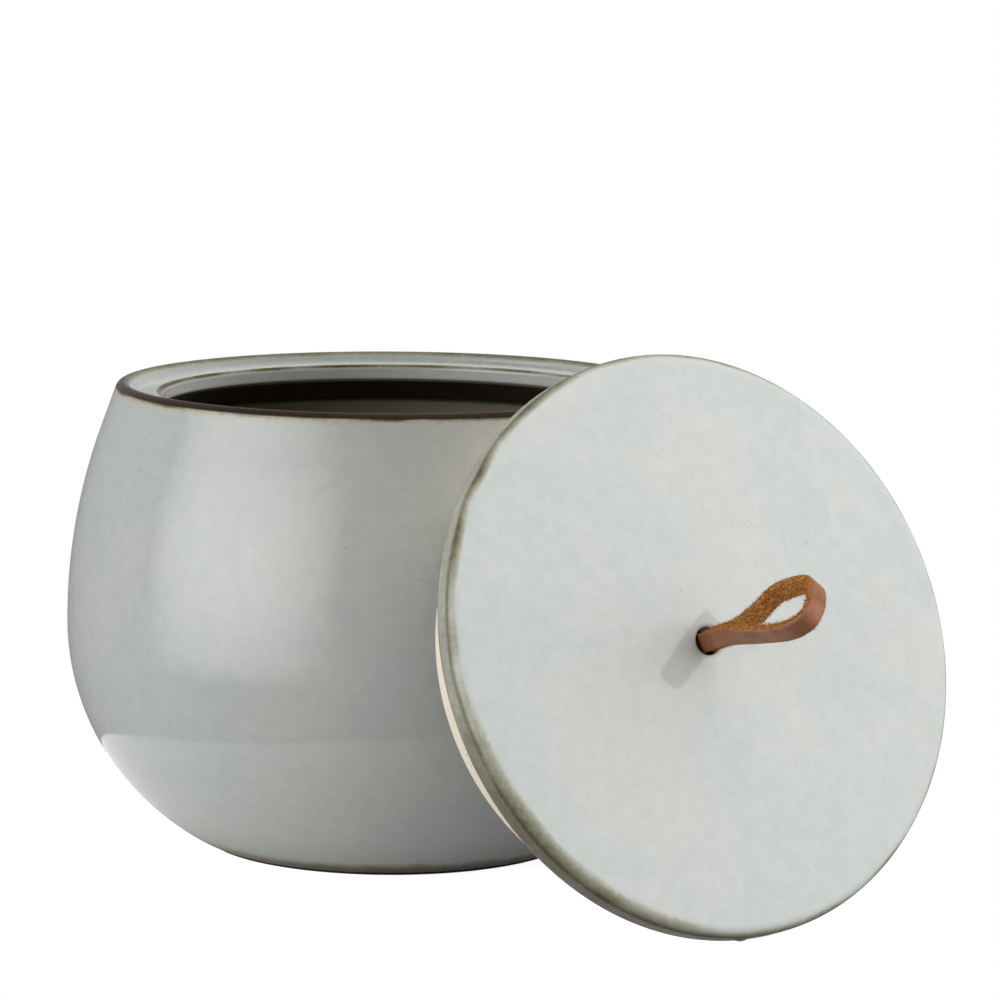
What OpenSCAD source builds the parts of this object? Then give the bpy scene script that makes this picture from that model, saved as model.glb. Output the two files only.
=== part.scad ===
// Stoneware salt pig: a round-bellied jar with a dished rim, a flat lid that stands leaning
// against it, and a leather lace that is knotted under the lid and makes the loop above it.
// The origin is the middle of the jar's flat base, +Z is up, and the lid stands on the -Y side.

/* [Jar body] */
// Radius of the belly at its widest
belly_r = 55; // [45:0.5:70]
// Height of the widest place above the table
belly_z = 37.7; // [32:0.1:44]
// Height of the lip's crest above the table
pot_h = 78.4; // [70:0.5:95]
// Angle that the belly's arc turns through before the tighter arc of the base, degrees
belly_turn = 60.5; // [50:0.1:66]
// Radius of the arc that turns the body into its base
base_arc_r = 10; // [7:0.5:16]
// Lean of the straight neck towards the axis, degrees
neck_lean = 20.1; // [14:0.1:26]
// Height of the straight neck below the lip's middle
neck_h = 6.3; // [3:0.1:9]
// Thickness of the jar's wall and floor
wall = 4.5; // [3:0.1:6]
// Height of the unglazed foot
foot_h = 0.4; // [0.2:0.1:1.5]
// Step from the glazed body in to the foot
foot_set_in = 0.2; // [0.1:0.1:1]

/* [Rim] */
// Radius of the rolled lip
lip_r = 1.4; // [1:0.1:2]
// Depth of the gallery below the lip's crest
gallery_d = 1.7; // [1.2:0.05:2.4]
// Width of the gallery, from the lip's middle to the throat
gallery_w = 6.5; // [5:0.1:9]
// Radius of the hollow corner between the lip and the gallery
gallery_fillet_r = 1; // [0.5:0.1:1.5]
// Radius of the rounded edge where the gallery turns down into the throat
throat_edge_r = 0.8; // [0.4:0.1:1.2]
// Depth of the throat's straight wall under its rounded edge
throat_h = 1.6; // [1:0.1:4]
// Slope of the underside of the throat, degrees below level
undercut_slope = 40; // [30:1:50]

/* [Lid] */
// Thickness of the lid's disc
lid_t = 5; // [4:0.1:7]
// How far the lid's edge stays inside the lip's outside when it is on the jar
lid_set_in = 0.1; // [0.1:0.1:2]
// Radius of the lid's upper edge
lid_top_round_r = 1.8; // [1:0.1:2.4]
// Radius of the lid's lower edge
lid_under_round_r = 1; // [0.6:0.1:1.5]
// Depth of the locating flange under the disc
flange_h = 14.9; // [8:0.1:16]
// Thickness of the flange
flange_wall = 4.2; // [3:0.1:6]
// Gap all round between the flange and the throat when the lid is on the jar
flange_clear = 0.7; // [0.4:0.1:1.5]
// Radius of the flange's lower edges
flange_round_r = 0.4; // [0.2:0.1:1.2]
// Radius of the hollow corner between the flange and the disc
flange_root_r = 0.9; // [0.4:0.1:1.2]
// Radius of the hole for the lace
hole_r = 2.15; // [2:0.05:3]
// Radius of the rounded edges of the hole
hole_round_r = 0.9; // [0.3:0.1:1.2]

/* [How the lid leans] */
// Lean of the lid from upright, degrees
lean = 20.4; // [14:0.1:30]
// Bearing of the lid's face from the front, degrees
lid_facing = 31.5; // [20:0.1:40]
// Bearing of the lid's middle round the jar, degrees
lid_bearing = 38.5; // [25:0.1:50]
// Gap where the flange rests on the jar's shoulder
lean_gap = 0.3; // [0.1:0.05:0.5]

/* [Lace] */
// Width of the lace
strap_w = 3; // [2:0.1:3.4]
// Thickness of one layer of the lace
strap_t = 1.45; // [0.8:0.05:1.5]
// Gap all round between the lace and its hole
strap_clear = 0.1; // [0.05:0.01:0.3]
// Length of the loop from its bend to its tip
loop_h = 28.6; // [22:0.2:36]
// Length of the loop's root, where its two layers lie together
loop_root = 1.6; // [1:0.1:3]
// Turn of the loop's opening from upright, degrees
loop_turn = 44; // [0:1:80]
// Gap between the lace's bending loop and the part of it held in the hole
bend_gap = 0.3; // [0.1:0.05:0.5]

/* [Knot] */
// Radius of the doubled lace where it is drawn tight in the knot
knot_cord_r = 1.2; // [0.8:0.05:1.4]
// Gap between the knot and the underside of the lid
knot_gap = 0.3; // [0.1:0.05:0.6]
// Length of the tail that hangs below the knot
tail_h = 5; // [3:0.5:8]

/* [Hidden] */
$fn = 64;
glaze = "#b9bdb9";
leather = "#8a5530";
// Overrun of the cuts
cut = 1;
// Steps of an arc in an outline
arc_n = 14;

// Points of an arc round c, from angle a0 to angle a1
function arc(c, r, a0, a1, n = arc_n) =
    [for (i = [0:n]) let (a = a0 + (a1 - a0) * i / n) c + r * [cos(a), sin(a)]];

// The jar's outline is a chain of tangent arcs: base, belly and shoulder, then a straight neck.
// The base arc meets the table flat, and each radius follows from the heights and the turns.
belly_arc_r = base_arc_r + (belly_z - base_arc_r) / sin(belly_turn);
lip_z = pot_h - lip_r;
shoulder_arc_r = (lip_z - neck_h - belly_z) / sin(neck_lean);
belly_c = [belly_r - belly_arc_r, belly_z];
base_c = belly_c + (belly_arc_r - base_arc_r) * [cos(belly_turn), -sin(belly_turn)];
shoulder_c = [belly_r - shoulder_arc_r, belly_z];
neck_dir = [-sin(neck_lean), cos(neck_lean)];
neck_start = shoulder_c + shoulder_arc_r * [cos(neck_lean), sin(neck_lean)];
lip_c = [neck_start[0] - neck_h * tan(neck_lean) - lip_r / cos(neck_lean), lip_z];

// Outline from the base arc up the neck, set in by d, for the outside and for the hollow
function outline(d, a_base) = concat(
    arc(base_c, base_arc_r - d, a_base, -belly_turn),
    arc(belly_c, belly_arc_r - d, -belly_turn, 0, 2 * arc_n),
    arc(shoulder_c, shoulder_arc_r - d, 0, neck_lean, 2 * arc_n));

// Outside radius of the jar at height z
function jar_r(z) =
    z < belly_z - belly_arc_r * sin(belly_turn) ?
        base_c[0] + sqrt(max(0, pow(base_arc_r, 2) - pow(base_arc_r - z, 2))) :
    z < belly_z ? belly_c[0] + sqrt(pow(belly_arc_r, 2) - pow(belly_z - z, 2)) :
    z < neck_start[1] ? shoulder_c[0] + sqrt(pow(shoulder_arc_r, 2) - pow(z - belly_z, 2)) :
    neck_start[0] - (z - neck_start[1]) * tan(neck_lean);

foot_r = jar_r(foot_h) - foot_set_in;
foot_angle = -asin((base_arc_r - foot_h) / base_arc_r);

// Rim: the gallery lies inside the lip and ends at the throat
gallery_z = pot_h - gallery_d;
throat_r = lip_c[0] - gallery_w;
throat_z = gallery_z - throat_edge_r - throat_h;
fillet_z = gallery_z + gallery_fillet_r;
fillet_rise = fillet_z - lip_z;
fillet_c = [lip_c[0] - sqrt(pow(lip_r + gallery_fillet_r, 2) - pow(fillet_rise, 2)), fillet_z];
fillet_angle = asin(fillet_rise / (lip_r + gallery_fillet_r));

// Lid: its own frame has the underside of the disc at z = 0, and +Z out of its face
lid_r = lip_c[0] + lip_r - lid_set_in;
flange_r = throat_r - flange_clear;
flange_in_r = flange_r - flange_wall;

// Knot: a torus knot of two turns and three lobes, cut where it passes through its own middle,
// with one end led up to the hole and the other down. All shares are of the cord's radius.
ring_share = 3.03;
lobe_share = 1.08;
knot_height_share = 1.81;
pass_x_share = 1.32;
pass_y_share = 0.72;
pass_z_share = 3.94;
pull_share = 2.17;
cut_angle = 42.4;
knot_n = 66;
lead_n = 6;
cord_sides = 8;
function knot_ring(a) = knot_cord_r * [(ring_share + lobe_share * cos(3 * a)) * cos(2 * a),
    (ring_share + lobe_share * cos(3 * a)) * sin(2 * a), knot_height_share * sin(3 * a)];
function unit(v) = v / norm(v);
function knot_way(a) = unit(knot_ring(a + 0.5) - knot_ring(a - 0.5));
function bezier(p, q, r, s, t) =
    pow(1 - t, 3) * p + 3 * pow(1 - t, 2) * t * q + 3 * (1 - t) * pow(t, 2) * r + pow(t, 3) * s;
pass_up = knot_cord_r * [pass_x_share, -pass_y_share, pass_z_share];
pass_down = knot_cord_r * [pass_x_share, pass_y_share, -pass_z_share];
down = [0, 0, -1];
pull = knot_cord_r * pull_share;
first_a = cut_angle - 180;
last_a = 180 - cut_angle;
knot_path = concat(
    [pass_up - knot_cord_r * down],
    [for (i = [0:lead_n - 1]) bezier(pass_up, pass_up + pull * down,
        knot_ring(first_a) - pull * knot_way(first_a), knot_ring(first_a), i / lead_n)],
    [for (i = [0:knot_n]) knot_ring(first_a + (last_a - first_a) * i / knot_n)],
    [for (i = [1:lead_n]) bezier(knot_ring(last_a), knot_ring(last_a) + pull * knot_way(last_a),
        pass_down - pull * down, pass_down, i / lead_n)],
    [pass_down + tail_h * down]);
knot_top = (pass_z_share + 1) * knot_cord_r;

// The lid stands on its lower edge and leans until its flange, edge or knot is lean_gap from the jar
lid_z = (lid_r - lid_under_round_r) * cos(lean) + lid_under_round_r * (1 - sin(lean));
face = [sin(lid_facing) * cos(lean), -cos(lid_facing) * cos(lean), sin(lean)];
side = [cos(lid_facing), sin(lid_facing), 0];
rise = cross(face, side);
function lid_middle(reach) = [reach * sin(lid_bearing), -reach * cos(lid_bearing), lid_z];
function ring_gap(c, r) = min([for (a = [0:4:356])
    let (p = c + r * (cos(a) * side + sin(a) * rise))
    p[2] > 0 && p[2] < lip_z ? norm([p[0], p[1]]) - jar_r(p[2]) : belly_r]);
// Where a point of the knot lies when the lid's middle is at c
function knot_point(c, p) = let (q = p - [pass_up[0], pass_up[1], knot_gap + knot_top])
    c + (q[0] * cos(loop_turn) + q[1] * sin(loop_turn)) * side
    + (q[1] * cos(loop_turn) - q[0] * sin(loop_turn)) * rise + q[2] * face;
function knot_room(c) = min([for (k = knot_path)
    let (p = knot_point(c, k))
    p[2] > 0 && p[2] < lip_z ? norm([p[0], p[1]]) - jar_r(p[2]) - knot_cord_r : belly_r]);
function lid_gap(reach) = min(
    ring_gap(lid_middle(reach) - flange_h * face, flange_r),
    ring_gap(lid_middle(reach), lid_r - lid_under_round_r),
    knot_room(lid_middle(reach)));
// Halves the span between a reach that is too near and one that is too far
function lid_reach(near, far, n = 26) = n == 0 ? far :
    let (mid = (near + far) / 2)
    lid_gap(mid) < lean_gap ? lid_reach(mid, far, n - 1) : lid_reach(near, mid, n - 1);
lid_c = lid_middle(lid_reach(belly_r, belly_r + 2 * lid_r));

// Loop: its own frame has the pivot of the bend at the origin, +X out along the loop and +Y along
// its opening. The middle line of the lace is a cubic B-spline: both layers start side by side,
// the lower one runs out nearly straight and the upper one comes back in an arch. The control
// points are shares of the loop's length.
pivot_z = lid_t + strap_t + bend_gap;
loop_shares = [[0.28, -0.06], [0.584, -0.124], [0.857, -0.187], [1.016, -0.143], [0.963, 0.009],
    [0.85, 0.15], [0.713, 0.199], [0.427, 0.223], [0.26, 0.073]];
// Gap at which the two layers count as parted
part_gap = 0.1;
loop_n = 7;
function root_points(side) = [for (x = [-loop_root, 0, loop_root]) [x, side * strap_t / 2]];
function reversed(list) = [for (i = [len(list) - 1:-1:0]) list[i]];
loop_control = concat(root_points(-1), loop_h * loop_shares, reversed(root_points(1)));
function spline_point(p, i, t) = (pow(1 - t, 3) * p[i] + (3 * pow(t, 3) - 6 * pow(t, 2) + 4) * p[i + 1]
    + (3 * t * (1 + t - pow(t, 2)) + 1) * p[i + 2] + pow(t, 3) * p[i + 3]) / 6;
function spline_way(p, i, t) = unit(-pow(1 - t, 2) * p[i] + (3 * pow(t, 2) - 4 * t) * p[i + 1]
    + (1 + 2 * t - 3 * pow(t, 2)) * p[i + 2] + pow(t, 2) * p[i + 3]);
// Points of the loop's band, set out from its middle line by d
function loop_edge(d) = [for (i = [0:len(loop_control) - 4]) for (k = [0:loop_n - (i < len(loop_control) - 4 ? 1 : 0)])
    let (t = k / loop_n, w = spline_way(loop_control, i, t)) spline_point(loop_control, i, t) + d * [w[1], -w[0]]];

// Ring frames are carried along the path without twist
function carried(v, way) = unit(v - (v * way) * way);
function path_way(p, i) = unit(p[min(i + 1, len(p) - 1)] - p[max(i - 1, 0)]);
function frames(p, i, v, out) = i == len(p) ? out :
    let (w = path_way(p, i), n = carried(v, w)) frames(p, i + 1, n, concat(out, [[n, cross(w, n)]]));

module sweep(p, r, sides) {
    f = frames(p, 0, [1, 0, 0], []);
    points = [for (i = [0:len(p) - 1]) for (k = [0:sides - 1])
        p[i] + r * (cos(360 * k / sides) * f[i][0] + sin(360 * k / sides) * f[i][1])];
    last = (len(p) - 1) * sides;
    faces = concat(
        [[for (k = [0:sides - 1]) k]],
        [[for (k = [sides - 1:-1:0]) last + k]],
        [for (i = [0:len(p) - 2]) for (k = [0:sides - 1]) let (a = i * sides + k, b = i * sides + (k + 1) % sides)
            [a, a + sides, b]],
        [for (i = [0:len(p) - 2]) for (k = [0:sides - 1]) let (a = i * sides + k, b = i * sides + (k + 1) % sides)
            [b, a + sides, b + sides]]);
    polyhedron(points, faces, convexity = 8);
}

// Places children from the lid's frame to where the lid leans
module on_lid() {
    translate(lid_c) rotate([0, 0, lid_facing]) rotate([90 - lean, 0, 0]) children();
}

module pot_hollow() {
    // Chamber under the throat, cut off by the sloping underside of the rim
    intersection() {
        polygon(concat([[0, wall]], outline(wall, -90),
            [neck_start - wall * [cos(neck_lean), sin(neck_lean)] + 2 * neck_h * neck_dir,
             [0, neck_start[1] + 2 * neck_h]]));
        polygon([[0, 0], [belly_r, 0],
            [belly_r, throat_z - (belly_r - throat_r) * tan(undercut_slope)],
            [throat_r, throat_z], [0, throat_z]]);
    }
    // Throat, gallery and the inner side of the lip
    polygon(concat([[0, throat_z - wall], [throat_r, throat_z - wall]],
        arc([throat_r + throat_edge_r, gallery_z - throat_edge_r], throat_edge_r, 180, 90),
        arc(fillet_c, gallery_fillet_r, -90, -fillet_angle),
        arc(lip_c, lip_r, 180 - fillet_angle, 90),
        [[lip_c[0], pot_h + cut], [0, pot_h + cut]]));
}

module pot() {
    color(glaze) rotate_extrude($fn = 180) difference() {
        polygon(concat([[0, 0], [foot_r, 0], [foot_r, foot_h]], outline(0, foot_angle),
            arc(lip_c, lip_r, neck_lean, 90), [[0, pot_h]]));
        pot_hollow();
    }
}

module lid() {
    color(glaze) on_lid() rotate_extrude($fn = 180) polygon(concat(
        arc([hole_r + hole_round_r, hole_round_r], hole_round_r, 270, 180),
        arc([hole_r + hole_round_r, lid_t - hole_round_r], hole_round_r, 180, 90),
        arc([lid_r - lid_top_round_r, lid_t - lid_top_round_r], lid_top_round_r, 90, 0),
        arc([lid_r - lid_under_round_r, lid_under_round_r], lid_under_round_r, 0, -90),
        arc([flange_r + flange_root_r, -flange_root_r], flange_root_r, 90, 180),
        arc([flange_r - flange_round_r, flange_round_r - flange_h], flange_round_r, 0, -90),
        arc([flange_in_r + flange_round_r, flange_round_r - flange_h], flange_round_r, -90, -180),
        arc([flange_in_r - flange_root_r, -flange_root_r], flange_root_r, 0, 90)));
}

// Both layers of the lace where they fill the hole, from the knot up to the bend
module strap_neck() {
    color(leather) on_lid() rotate([0, 0, -loop_turn]) intersection() {
        translate([-strap_w / 2, -strap_t, -knot_gap]) cube([strap_w, 2 * strap_t, lid_t + knot_gap]);
        translate([0, 0, -knot_gap - cut]) cylinder(r = hole_r - strap_clear, h = lid_t + knot_gap + 2 * cut);
    }
}

module strap_knot() {
    color(leather) on_lid() rotate([0, 0, -loop_turn])
        translate([-pass_up[0], -pass_up[1], -knot_gap - knot_top])
        sweep(knot_path, knot_cord_r, cord_sides);
}

module strap_loop() {
    color(leather) on_lid() rotate([0, 0, -loop_turn])
        translate([0, 0, pivot_z]) rotate([0, -90, 0]) translate([0, 0, -strap_w / 2]) {
        linear_extrude(strap_w) difference() {
            polygon(loop_edge(strap_t / 2));
            polygon([for (p = loop_edge(-strap_t / 2)) if (abs(p[1]) > part_gap) p]);
        }
        cylinder(r = strap_t, h = strap_w);
    }
}

pot();
lid();
strap_neck();
strap_knot();
strap_loop();
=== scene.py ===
import bpy
import numpy as np
from mathutils import Matrix, Vector


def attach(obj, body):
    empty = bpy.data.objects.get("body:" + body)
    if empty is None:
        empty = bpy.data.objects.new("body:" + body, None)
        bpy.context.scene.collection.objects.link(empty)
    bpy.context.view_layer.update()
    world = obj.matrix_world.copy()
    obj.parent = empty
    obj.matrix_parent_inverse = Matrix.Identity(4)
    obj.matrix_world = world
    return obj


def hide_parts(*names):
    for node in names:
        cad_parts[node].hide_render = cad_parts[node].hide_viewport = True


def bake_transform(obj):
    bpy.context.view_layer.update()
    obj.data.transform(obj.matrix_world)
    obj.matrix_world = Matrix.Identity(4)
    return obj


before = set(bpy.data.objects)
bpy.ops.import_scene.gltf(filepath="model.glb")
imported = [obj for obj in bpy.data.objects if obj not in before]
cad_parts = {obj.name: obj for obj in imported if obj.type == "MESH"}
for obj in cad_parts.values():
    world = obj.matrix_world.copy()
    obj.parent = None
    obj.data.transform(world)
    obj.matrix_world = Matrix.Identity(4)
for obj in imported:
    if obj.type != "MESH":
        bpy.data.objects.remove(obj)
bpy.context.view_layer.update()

MM = 0.001

# Camera: a long lens a short way above the jar, turned and tipped a little. The place and the
# angles are those at which the jar's and the lid's outlines fall where the photograph has them.
CAMERA_BACK, CAMERA_UP = 732.86 * MM, 163.70 * MM
SWING, TIP, TILT = np.radians((1.4432, 8.2002, -0.4759))
LENS_IN_FRAMES = 4.3514

ahead = np.array([np.sin(SWING) * np.cos(TIP), np.cos(SWING) * np.cos(TIP), -np.sin(TIP)])
across = np.array([np.cos(SWING), -np.sin(SWING), 0.0])
below = np.cross(ahead, across)
across, below = (across * np.cos(TILT) + below * np.sin(TILT),
                 below * np.cos(TILT) - across * np.sin(TILT))
camera = bpy.data.objects.new("camera", bpy.data.cameras.new("camera"))
bpy.context.scene.collection.objects.link(camera)
stand = np.eye(4)
stand[:3, 0], stand[:3, 1], stand[:3, 2] = across, -below, -ahead
stand[:3, 3] = 0, -CAMERA_BACK, CAMERA_UP
camera.matrix_world = Matrix(stand)
camera.data.lens = LENS_IN_FRAMES * camera.data.sensor_width
camera.data.clip_start, camera.data.clip_end = 0.05, 20
bpy.context.scene.camera = camera
bpy.context.scene.view_settings.view_transform = "Standard"

# Studio: wide softboxes on the left and behind, one on the right that lights only the jar, for its
# rim, and two that light only the lid and its lace, the small one for the loop's shadow on the lid.
AIM = Vector((0.02, -0.03, 0.04))
WHITE = (1, 1, 1, 1)
ROOM_LIGHT, ROOM_MIRRORED = 0.06, 0.24


def emptied(owner):
    """The node tree of a lamp, a world or a material, switched on and with nothing in it."""
    owner.use_nodes = True
    owner.node_tree.nodes.clear()
    return owner.node_tree


def add(tree, kind, settings=None, **inputs):
    """A node of that kind in tree. settings are its own properties, and inputs its sockets by name,
    each a value or another node's output. An input named in_0, in_1 is the socket of that number."""
    made = tree.nodes.new(kind)
    for key, value in (settings or {}).items():
        setattr(made, key, value)
    for key, value in inputs.items():
        found = made.inputs[int(key[3:])] if key[:3] == "in_" else made.inputs[key.replace("_", " ")]
        if isinstance(value, bpy.types.NodeSocket):
            tree.links.new(value, found)
        else:
            found.default_value = value
    return made


def times(tree, first, second):
    """The product of two values."""
    return add(tree, "ShaderNodeMath", {"operation": "MULTIPLY"}, in_0=first, in_1=second).outputs[0]


def end_in(tree, kind, shader):
    """Joins a shader to a new output node of that kind, which ends the tree."""
    tree.links.new(shader.outputs[0], tree.nodes.new("ShaderNodeOutput" + kind).inputs[0])


def by_ray(tree, seen, mirrored, lighting):
    """One value for rays from the camera, one for reflected rays and one for rays that light the object."""
    path = tree.nodes.new("ShaderNodeLightPath")
    value = add(tree, "ShaderNodeMix", None, Factor=path.outputs["Is Glossy Ray"], A=lighting, B=mirrored)
    return add(tree, "ShaderNodeMix", None, Factor=path.outputs["Is Camera Ray"], A=value.outputs[0],
               B=seen).outputs[0]


def softbox(name, bearing, height, reach, width, tall, watts, mirrored=True, lights=None):
    """An area lamp at a bearing (degrees right of the camera) and height (degrees), aimed at the object.
    Its light falls off to nothing at its edges, as 16 u (1 - u) v (1 - v). The glaze mirrors it, or not,
    and it lights everything, or only what is in the collection lights."""
    b, h = np.radians(bearing), np.radians(height)
    lamp = bpy.data.objects.new(name, bpy.data.lights.new(name, "AREA"))
    lamp.data.shape = "RECTANGLE"
    lamp.data.size, lamp.data.size_y, lamp.data.energy = width, tall, watts
    away = Vector((np.sin(b) * np.cos(h), -np.cos(b) * np.cos(h), np.sin(h)))
    lamp.location = AIM + reach * away
    lamp.rotation_mode = "QUATERNION"
    lamp.rotation_quaternion = away.to_track_quat("Z", "Y")
    lamp.visible_glossy = mirrored
    lamp.light_linking.receiver_collection = lights
    tree = emptied(lamp.data)
    spot = tree.nodes.new("ShaderNodeNewGeometry").outputs["Parametric"]
    rest = add(tree, "ShaderNodeVectorMath", {"operation": "SUBTRACT"}, in_0=(1, 1, 1), in_1=spot)
    hump = add(tree, "ShaderNodeVectorMath", {"operation": "MULTIPLY"}, in_0=spot, in_1=rest.outputs[0])
    parts = add(tree, "ShaderNodeSeparateXYZ", None, Vector=hump.outputs[0]).outputs
    level = times(tree, times(tree, parts[0], parts[1]), 16)
    end_in(tree, "Light", add(tree, "ShaderNodeEmission", None, Color=WHITE, Strength=level))
    bpy.context.scene.collection.objects.link(lamp)


jar_only, lid_only = (bpy.data.collections.new(name) for name in ("jar_only", "lid_and_lace"))
softbox("left_box", bearing=-57, height=12, reach=0.9, width=1.4, tall=1.0, watts=19.5)
softbox("back_box", bearing=190, height=30, reach=0.9, width=1.2, tall=0.9, watts=13, mirrored=False)
softbox("rim_box", bearing=120, height=38, reach=0.9, width=0.9, tall=0.7, watts=20, mirrored=False,
        lights=jar_only)
softbox("lid_box", bearing=74, height=30, reach=0.6, width=1.4, tall=1.1, watts=15.5, mirrored=False,
        lights=lid_only)
softbox("lid_lamp", bearing=43, height=23.3, reach=1.2, width=0.03, tall=0.03, watts=6.5,
        mirrored=False, lights=lid_only)

world = bpy.data.worlds.new("room")
bpy.context.scene.world = world
tree = emptied(world)
room = by_ray(tree, seen=1.0, mirrored=ROOM_MIRRORED, lighting=ROOM_LIGHT)
end_in(tree, "World", add(tree, "ShaderNodeBackground", None, Color=WHITE, Strength=room))

# Table: a small round stand that ends just in front of the lid, so the glaze mirrors its edge. It
# glows for the camera, so it is seen as white, with only a trace of the object's shadow on it.
TABLE_R, TABLE_X, TABLE_Y, TABLE_SIDES = 0.088, 0.012, 0.002, 96
TABLE_BELOW = 0.02 * MM
TABLE_CHALK, TABLE_GLOW, TABLE_MIRRORED, SHADE_REACH = 0.7, 0.93, 0.65, 0.035

angle = np.linspace(0, 2 * np.pi, TABLE_SIDES + 1)[:-1]
edge = np.stack([TABLE_X + TABLE_R * np.cos(angle), TABLE_Y + TABLE_R * np.sin(angle),
                 0 * angle - TABLE_BELOW], 1)
flat = bpy.data.meshes.new("table")
flat.from_pydata(edge.tolist(), [], [list(range(len(edge)))])
table = bpy.data.objects.new("table", flat)
bpy.context.scene.collection.objects.link(table)
top = bpy.data.materials.new("table_top")
tree = emptied(top)
chalk = add(tree, "ShaderNodeBsdfDiffuse", None, Color=(TABLE_CHALK, TABLE_CHALK, TABLE_CHALK, 1))
# In the glaze's reflections the table glows too, with painted shade from ambient occlusion near the object,
# under the jar's overhang.
ao_shade = add(tree, "ShaderNodeAmbientOcclusion", {"samples": 6}, Distance=SHADE_REACH).outputs["AO"]
strength = by_ray(tree, seen=TABLE_GLOW, mirrored=times(tree, ao_shade, TABLE_MIRRORED), lighting=0.0)
glow = add(tree, "ShaderNodeEmission", None, Color=WHITE, Strength=strength)
end_in(tree, "Material", add(tree, "ShaderNodeAddShader", None, in_0=chalk.outputs[0], in_1=glow.outputs[0]))
flat.materials.append(top)

# Pot: one piece of jiggered stoneware, a round belly drawn in to a rolled lip with a dished
# gallery inside it. Dipped in a pale grey glaze that runs thin and burns brown on every edge.
BELLY_R, BELLY_Z, POT_H, WALL = 55.0, 37.7, 78.4, 4.5
BELLY_TURN, BASE_ARC_R, NECK_LEAN, NECK_H = 60.5, 10.0, 20.1, 6.3
FOOT_H, FOOT_SET_IN, FOOT_ROUND, FOOT_NICK, NICK_TURN = 0.4, 0.2, 0.15, 0.02, 1.0
LIP_R, GALLERY_D, GALLERY_W, GALLERY_FILLET = 1.4, 1.7, 6.5, 1.0
THROAT_EDGE, THROAT_H, UNDERCUT, UNDERCUT_ROUND, UNDERCUT_MOST = 0.8, 1.6, 40.0, 0.5, 8.0
AROUND = 440

# The colours of glaze and clay, 0 to 255 as a screen shows them, and where on the way from full
# glaze, 0, to none at all, 1, the glaze has turned to them.
PALE, COOL, CLOUD, SPECK = (193, 195, 191), (188, 192, 190), (158, 164, 158), (128, 126, 110)
OLIVE, UMBER, BROWN, BURNT = (134, 132, 112), (92, 85, 63), (64, 45, 30), (48, 31, 20)
FRINGE_AT, OLIVE_AT, UMBER_AT, BROWN_AT = 0.16, 0.4, 0.6, 0.8
# The second and third colours on the next line are painted shade: the jar's inside painted a darker olive
# grey, and a near black for the painted shadow under its rim and down the lid's hole.
JAR_FRINGE, INSIDE_SHADE, PAINTED_SHADOW = (187, 183, 166), (130, 126, 109), (42, 29, 20)
CLAY, DULL_CLAY, IRON, CLAY_EDGE = (238, 228, 210), (224, 212, 192), (140, 104, 76), (100, 78, 58)

# Where the glaze turns: degrees round the lip from its outer side, degrees round the gallery's edge
# from its outer side, and millimetres below the lip. Up from the foot, in millimetres, a band darker
# towards the bottom and the bare clay. About the throat, in millimetres, where the painted shade inside
# the jar begins and where its painted shadow under the rim ends.
LIP_BURNT, LIP_OLIVE, LIP_CLEAR, LIP_FRINGE = (14, 32), (80, 104), (106, 170), 0.75
LEDGE_LINE_AT, LEDGE_LINE_FADE = 118, (14, 55)
FOOT_BAND, FOOT_BARE = (0.1, 4.0), 0.12
SHADE_ABOVE_THROAT, SHADE_FADE, SHADOW_BELOW_THROAT, SHADOW_FADE = 0.4, 1.2, 4.6, 0.6

# How far it has thinned there, how far a band darkens towards the bottom at the foot, and by how much
# each border strays, in the same degrees and millimetres, over that wavelength. The gallery's line is
# patchy over a longer one.
BURNT_BY, OLIVE_BACK, CLEAR_BACK, FOOT_DARKENS = 0.79, 0.42, 0.5, 0.85
FRINGE_STRAYS, BURNT_STRAYS, OLIVE_STRAYS, FOOT_STRAYS, STRAY_WAVE = 0.12, 4, 3, 0.2, 8
LEDGE_THIN, LEDGE_THIN_RANGE, LEDGE_BARE, LEDGE_BARE_RANGE = 0.55, (0.3, 0.72), 0.3, (0, 0.42)
LEDGE_PATCHY, PATCH_WAVE, NEAR = 0.2, 16, 0.02

# Waves to the metre of each pattern in the glaze and on the bare clay
CLOUDS, MOTTLES, SPECKLES, FRAYING, DRIFTING, CLAY_BORDER = 38, 420, 1500, 900, 95, 500
CLAY_GRAIN, IRON_SPOTS, SHEEN_CLOUDS, SWELLS, PEEL, CLAY_TOOTH = 2600, 1100, 60, 55, 1300, 4200


def arc(centre, radius, start, end, steps):
    """Points (radius, height) of an arc round centre, from angle start to end in degrees."""
    a = np.radians(np.linspace(start, end, steps))
    return np.stack([centre[0] + radius * np.cos(a), centre[1] + radius * np.sin(a)], 1)


def line(start, end, steps):
    """Points of a straight line, both ends left out."""
    t = np.linspace(0, 1, steps + 2)[1:-1, None]
    return np.array(start) * (1 - t) + np.array(end) * t


belly_arc = BASE_ARC_R + (BELLY_Z - BASE_ARC_R) / np.sin(np.radians(BELLY_TURN))
lip_z = POT_H - LIP_R
lean = np.radians(NECK_LEAN)
shoulder_arc = (lip_z - NECK_H - BELLY_Z) / np.sin(lean)
belly_c = np.array([BELLY_R - belly_arc, BELLY_Z])
turn = np.radians(BELLY_TURN)
base_c = belly_c + (belly_arc - BASE_ARC_R) * np.array([np.cos(turn), -np.sin(turn)])
shoulder_c = np.array([BELLY_R - shoulder_arc, BELLY_Z])
neck = shoulder_c + shoulder_arc * np.array([np.cos(lean), np.sin(lean)])
lip_c = np.array([neck[0] - NECK_H * np.tan(lean) - LIP_R / np.cos(lean), lip_z])
foot_angle = -np.degrees(np.arcsin((BASE_ARC_R - FOOT_H) / BASE_ARC_R))
foot_r = base_c[0] + BASE_ARC_R * np.cos(np.radians(foot_angle)) - FOOT_SET_IN
gallery_z = POT_H - GALLERY_D
throat_r = lip_c[0] - GALLERY_W
throat_z = gallery_z - THROAT_EDGE - THROAT_H
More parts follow.
